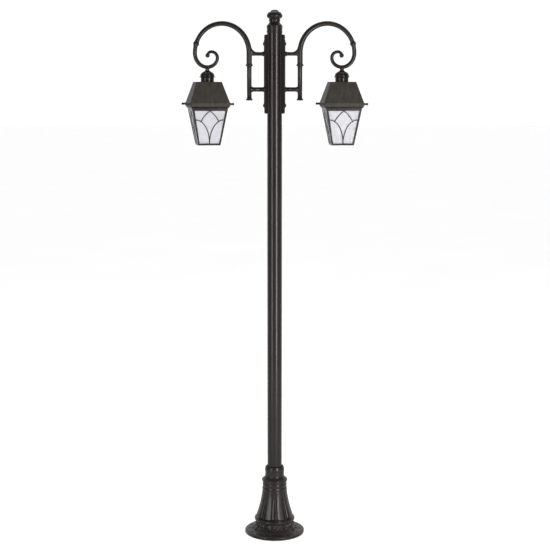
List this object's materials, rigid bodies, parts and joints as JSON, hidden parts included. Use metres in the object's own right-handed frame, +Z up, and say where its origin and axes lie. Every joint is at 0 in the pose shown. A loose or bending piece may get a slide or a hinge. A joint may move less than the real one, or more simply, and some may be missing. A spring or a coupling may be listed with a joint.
{
  "type": "street lamp post",
  "caption": "Cast foot, slim round post and two scrolled side arms, each carrying a square tapered lantern with frosted panes that swivels and drops open.",
  "frame": {"origin": "centre of the anchor hole circle at the underside of the foot, on the ground", "axes": "+Z up along the post, +X towards the right lantern, -Y towards the viewer of the front"},
  "size_m": [0.9498, 0.3138, 2.734],
  "materials": {
    "cast_bronze_coat": "cast aluminium with a dark bronze powder coat, satin",
    "tube_bronze_coat": "steel tube with the same dark bronze powder coat, satin",
    "sheet_bronze_coat": "aluminium sheet with the dark bronze powder coat, satin",
    "coated_bolts": "steel bolts and thumb screws, coated to match",
    "frosted_glass": "lightly rippled, white-frosted float glass",
    "steel_parts": "zinc-plated steel",
    "steel_screws": "stainless steel screws",
    "brass": "plain brass",
    "rubber": "black rubber",
    "terminal_plastic": "pale nylon",
    "porcelain": null,
    "lamp_bulb": "opal LED globe"
  },
  "bodies": {
    "post": {"base_casting": "cast_bronze_coat", "base_collar": "cast_bronze_coat", "set_screws": "steel_screws", "post_tube": "tube_bronze_coat", "tube_grommet": "rubber", "terminal_bracket": "steel_parts", "terminal_screws": "steel_screws", "terminal_block": "terminal_plastic", "earth_stud": "brass", "post_cap": "cast_bronze_coat", "finial": "cast_bronze_coat", "finial_stud": "steel_parts", "saddle_bolts": "coated_bolts", "left_arm_saddle": "cast_bronze_coat", "left_arm_lower_bar": "cast_bronze_coat", "left_arm_upright": "cast_bronze_coat", "left_scroll_arm": "cast_bronze_coat", "left_arm_foot_cap": "cast_bronze_coat", "left_swivel_stem": "steel_parts", "left_stem_nut": "steel_parts", "right_arm_saddle": "cast_bronze_coat", "right_arm_lower_bar": "cast_bronze_coat", "right_arm_upright": "cast_bronze_coat", "right_scroll_arm": "cast_bronze_coat", "right_arm_foot_cap": "cast_bronze_coat", "right_swivel_stem": "steel_parts", "right_stem_nut": "steel_parts"},
    "left_lantern": {"left_lantern_cap": "cast_bronze_coat", "left_lantern_roof": "sheet_bronze_coat", "left_roof_screws": "steel_screws", "left_hinge_pin": "steel_parts", "left_lamp_bracket": "steel_parts", "left_lampholder": "porcelain", "left_lamp": "lamp_bulb"},
    "right_lantern": {"right_lantern_cap": "cast_bronze_coat", "right_lantern_roof": "sheet_bronze_coat", "right_roof_screws": "steel_screws", "right_hinge_pin": "steel_parts", "right_lamp_bracket": "steel_parts", "right_lampholder": "porcelain", "right_lamp": "lamp_bulb"},
    "left_glazed_body": {"left_lantern_frame": "cast_bronze_coat", "left_glass_panes": "frosted_glass", "left_tracery": "sheet_bronze_coat", "left_floor_plate": "sheet_bronze_coat", "left_glazing_beads": "sheet_bronze_coat"},
    "right_glazed_body": {"right_lantern_frame": "cast_bronze_coat", "right_glass_panes": "frosted_glass", "right_tracery": "sheet_bronze_coat", "right_floor_plate": "sheet_bronze_coat", "right_glazing_beads": "sheet_bronze_coat"},
    "left_thumb_screw_1": {"left_thumb_screw_1": "coated_bolts"},
    "left_thumb_screw_2": {"left_thumb_screw_2": "coated_bolts"},
    "left_thumb_screw_3": {"left_thumb_screw_3": "coated_bolts"},
    "left_thumb_screw_4": {"left_thumb_screw_4": "coated_bolts"},
    "right_thumb_screw_1": {"right_thumb_screw_1": "coated_bolts"},
    "right_thumb_screw_2": {"right_thumb_screw_2": "coated_bolts"},
    "right_thumb_screw_3": {"right_thumb_screw_3": "coated_bolts"},
    "right_thumb_screw_4": {"right_thumb_screw_4": "coated_bolts"}
  },
  "joints": [
    {"name": "left_lantern_swivel", "type": "hinge", "parent": "post", "child": "left_lantern", "pos_m": [-0.341, 0, 2.4315], "axis": [0, 0, 1], "range_deg": [-90, 90]},
    {"name": "left_body_drop", "type": "hinge", "parent": "left_lantern", "child": "left_glazed_body", "pos_m": [-0.36142, 0.10503, 2.25105], "axis": [0.9816, 0.1908, 0], "range_deg": [0, 70]},
    {"name": "left_thumb_screw_1_turn", "type": "hinge", "parent": "left_lantern", "child": "left_thumb_screw_1", "pos_m": [-0.42335, -0.10565, 2.2642], "axis": [0.9816, 0.1908, 0], "continuous": true},
    {"name": "left_thumb_screw_2_turn", "type": "hinge", "parent": "left_lantern", "child": "left_thumb_screw_2", "pos_m": [-0.22506, -0.06711, 2.2642], "axis": [0.9816, 0.1908, 0], "continuous": true},
    {"name": "left_thumb_screw_3_turn", "type": "hinge", "parent": "left_lantern", "child": "left_thumb_screw_3", "pos_m": [-0.45694, 0.06711, 2.2642], "axis": [0.9816, 0.1908, 0], "continuous": true},
    {"name": "left_thumb_screw_4_turn", "type": "hinge", "parent": "left_lantern", "child": "left_thumb_screw_4", "pos_m": [-0.25865, 0.10565, 2.2642], "axis": [0.9816, 0.1908, 0], "continuous": true},
    {"name": "right_lantern_swivel", "type": "hinge", "parent": "post", "child": "right_lantern", "pos_m": [0.341, 0, 2.4315], "axis": [0, 0, 1], "range_deg": [-90, 90]},
    {"name": "right_body_drop", "type": "hinge", "parent": "right_lantern", "child": "right_glazed_body", "pos_m": [0.33167, 0.10659, 2.25105], "axis": [0.9962, 0.0872, 0], "range_deg": [0, 70]},
    {"name": "right_thumb_screw_1_turn", "type": "hinge", "parent": "right_lantern", "child": "right_thumb_screw_1", "pos_m": [0.24805, -0.09647, 2.2642], "axis": [0.9962, 0.0872, 0], "continuous": true},
    {"name": "right_thumb_screw_2_turn", "type": "hinge", "parent": "right_lantern", "child": "right_thumb_screw_2", "pos_m": [0.44928, -0.07886, 2.2642], "axis": [0.9962, 0.0872, 0], "continuous": true},
    {"name": "right_thumb_screw_3_turn", "type": "hinge", "parent": "right_lantern", "child": "right_thumb_screw_3", "pos_m": [0.23272, 0.07886, 2.2642], "axis": [0.9962, 0.0872, 0], "continuous": true},
    {"name": "right_thumb_screw_4_turn", "type": "hinge", "parent": "right_lantern", "child": "right_thumb_screw_4", "pos_m": [0.43395, 0.09647, 2.2642], "axis": [0.9962, 0.0872, 0], "continuous": true}
  ]
}
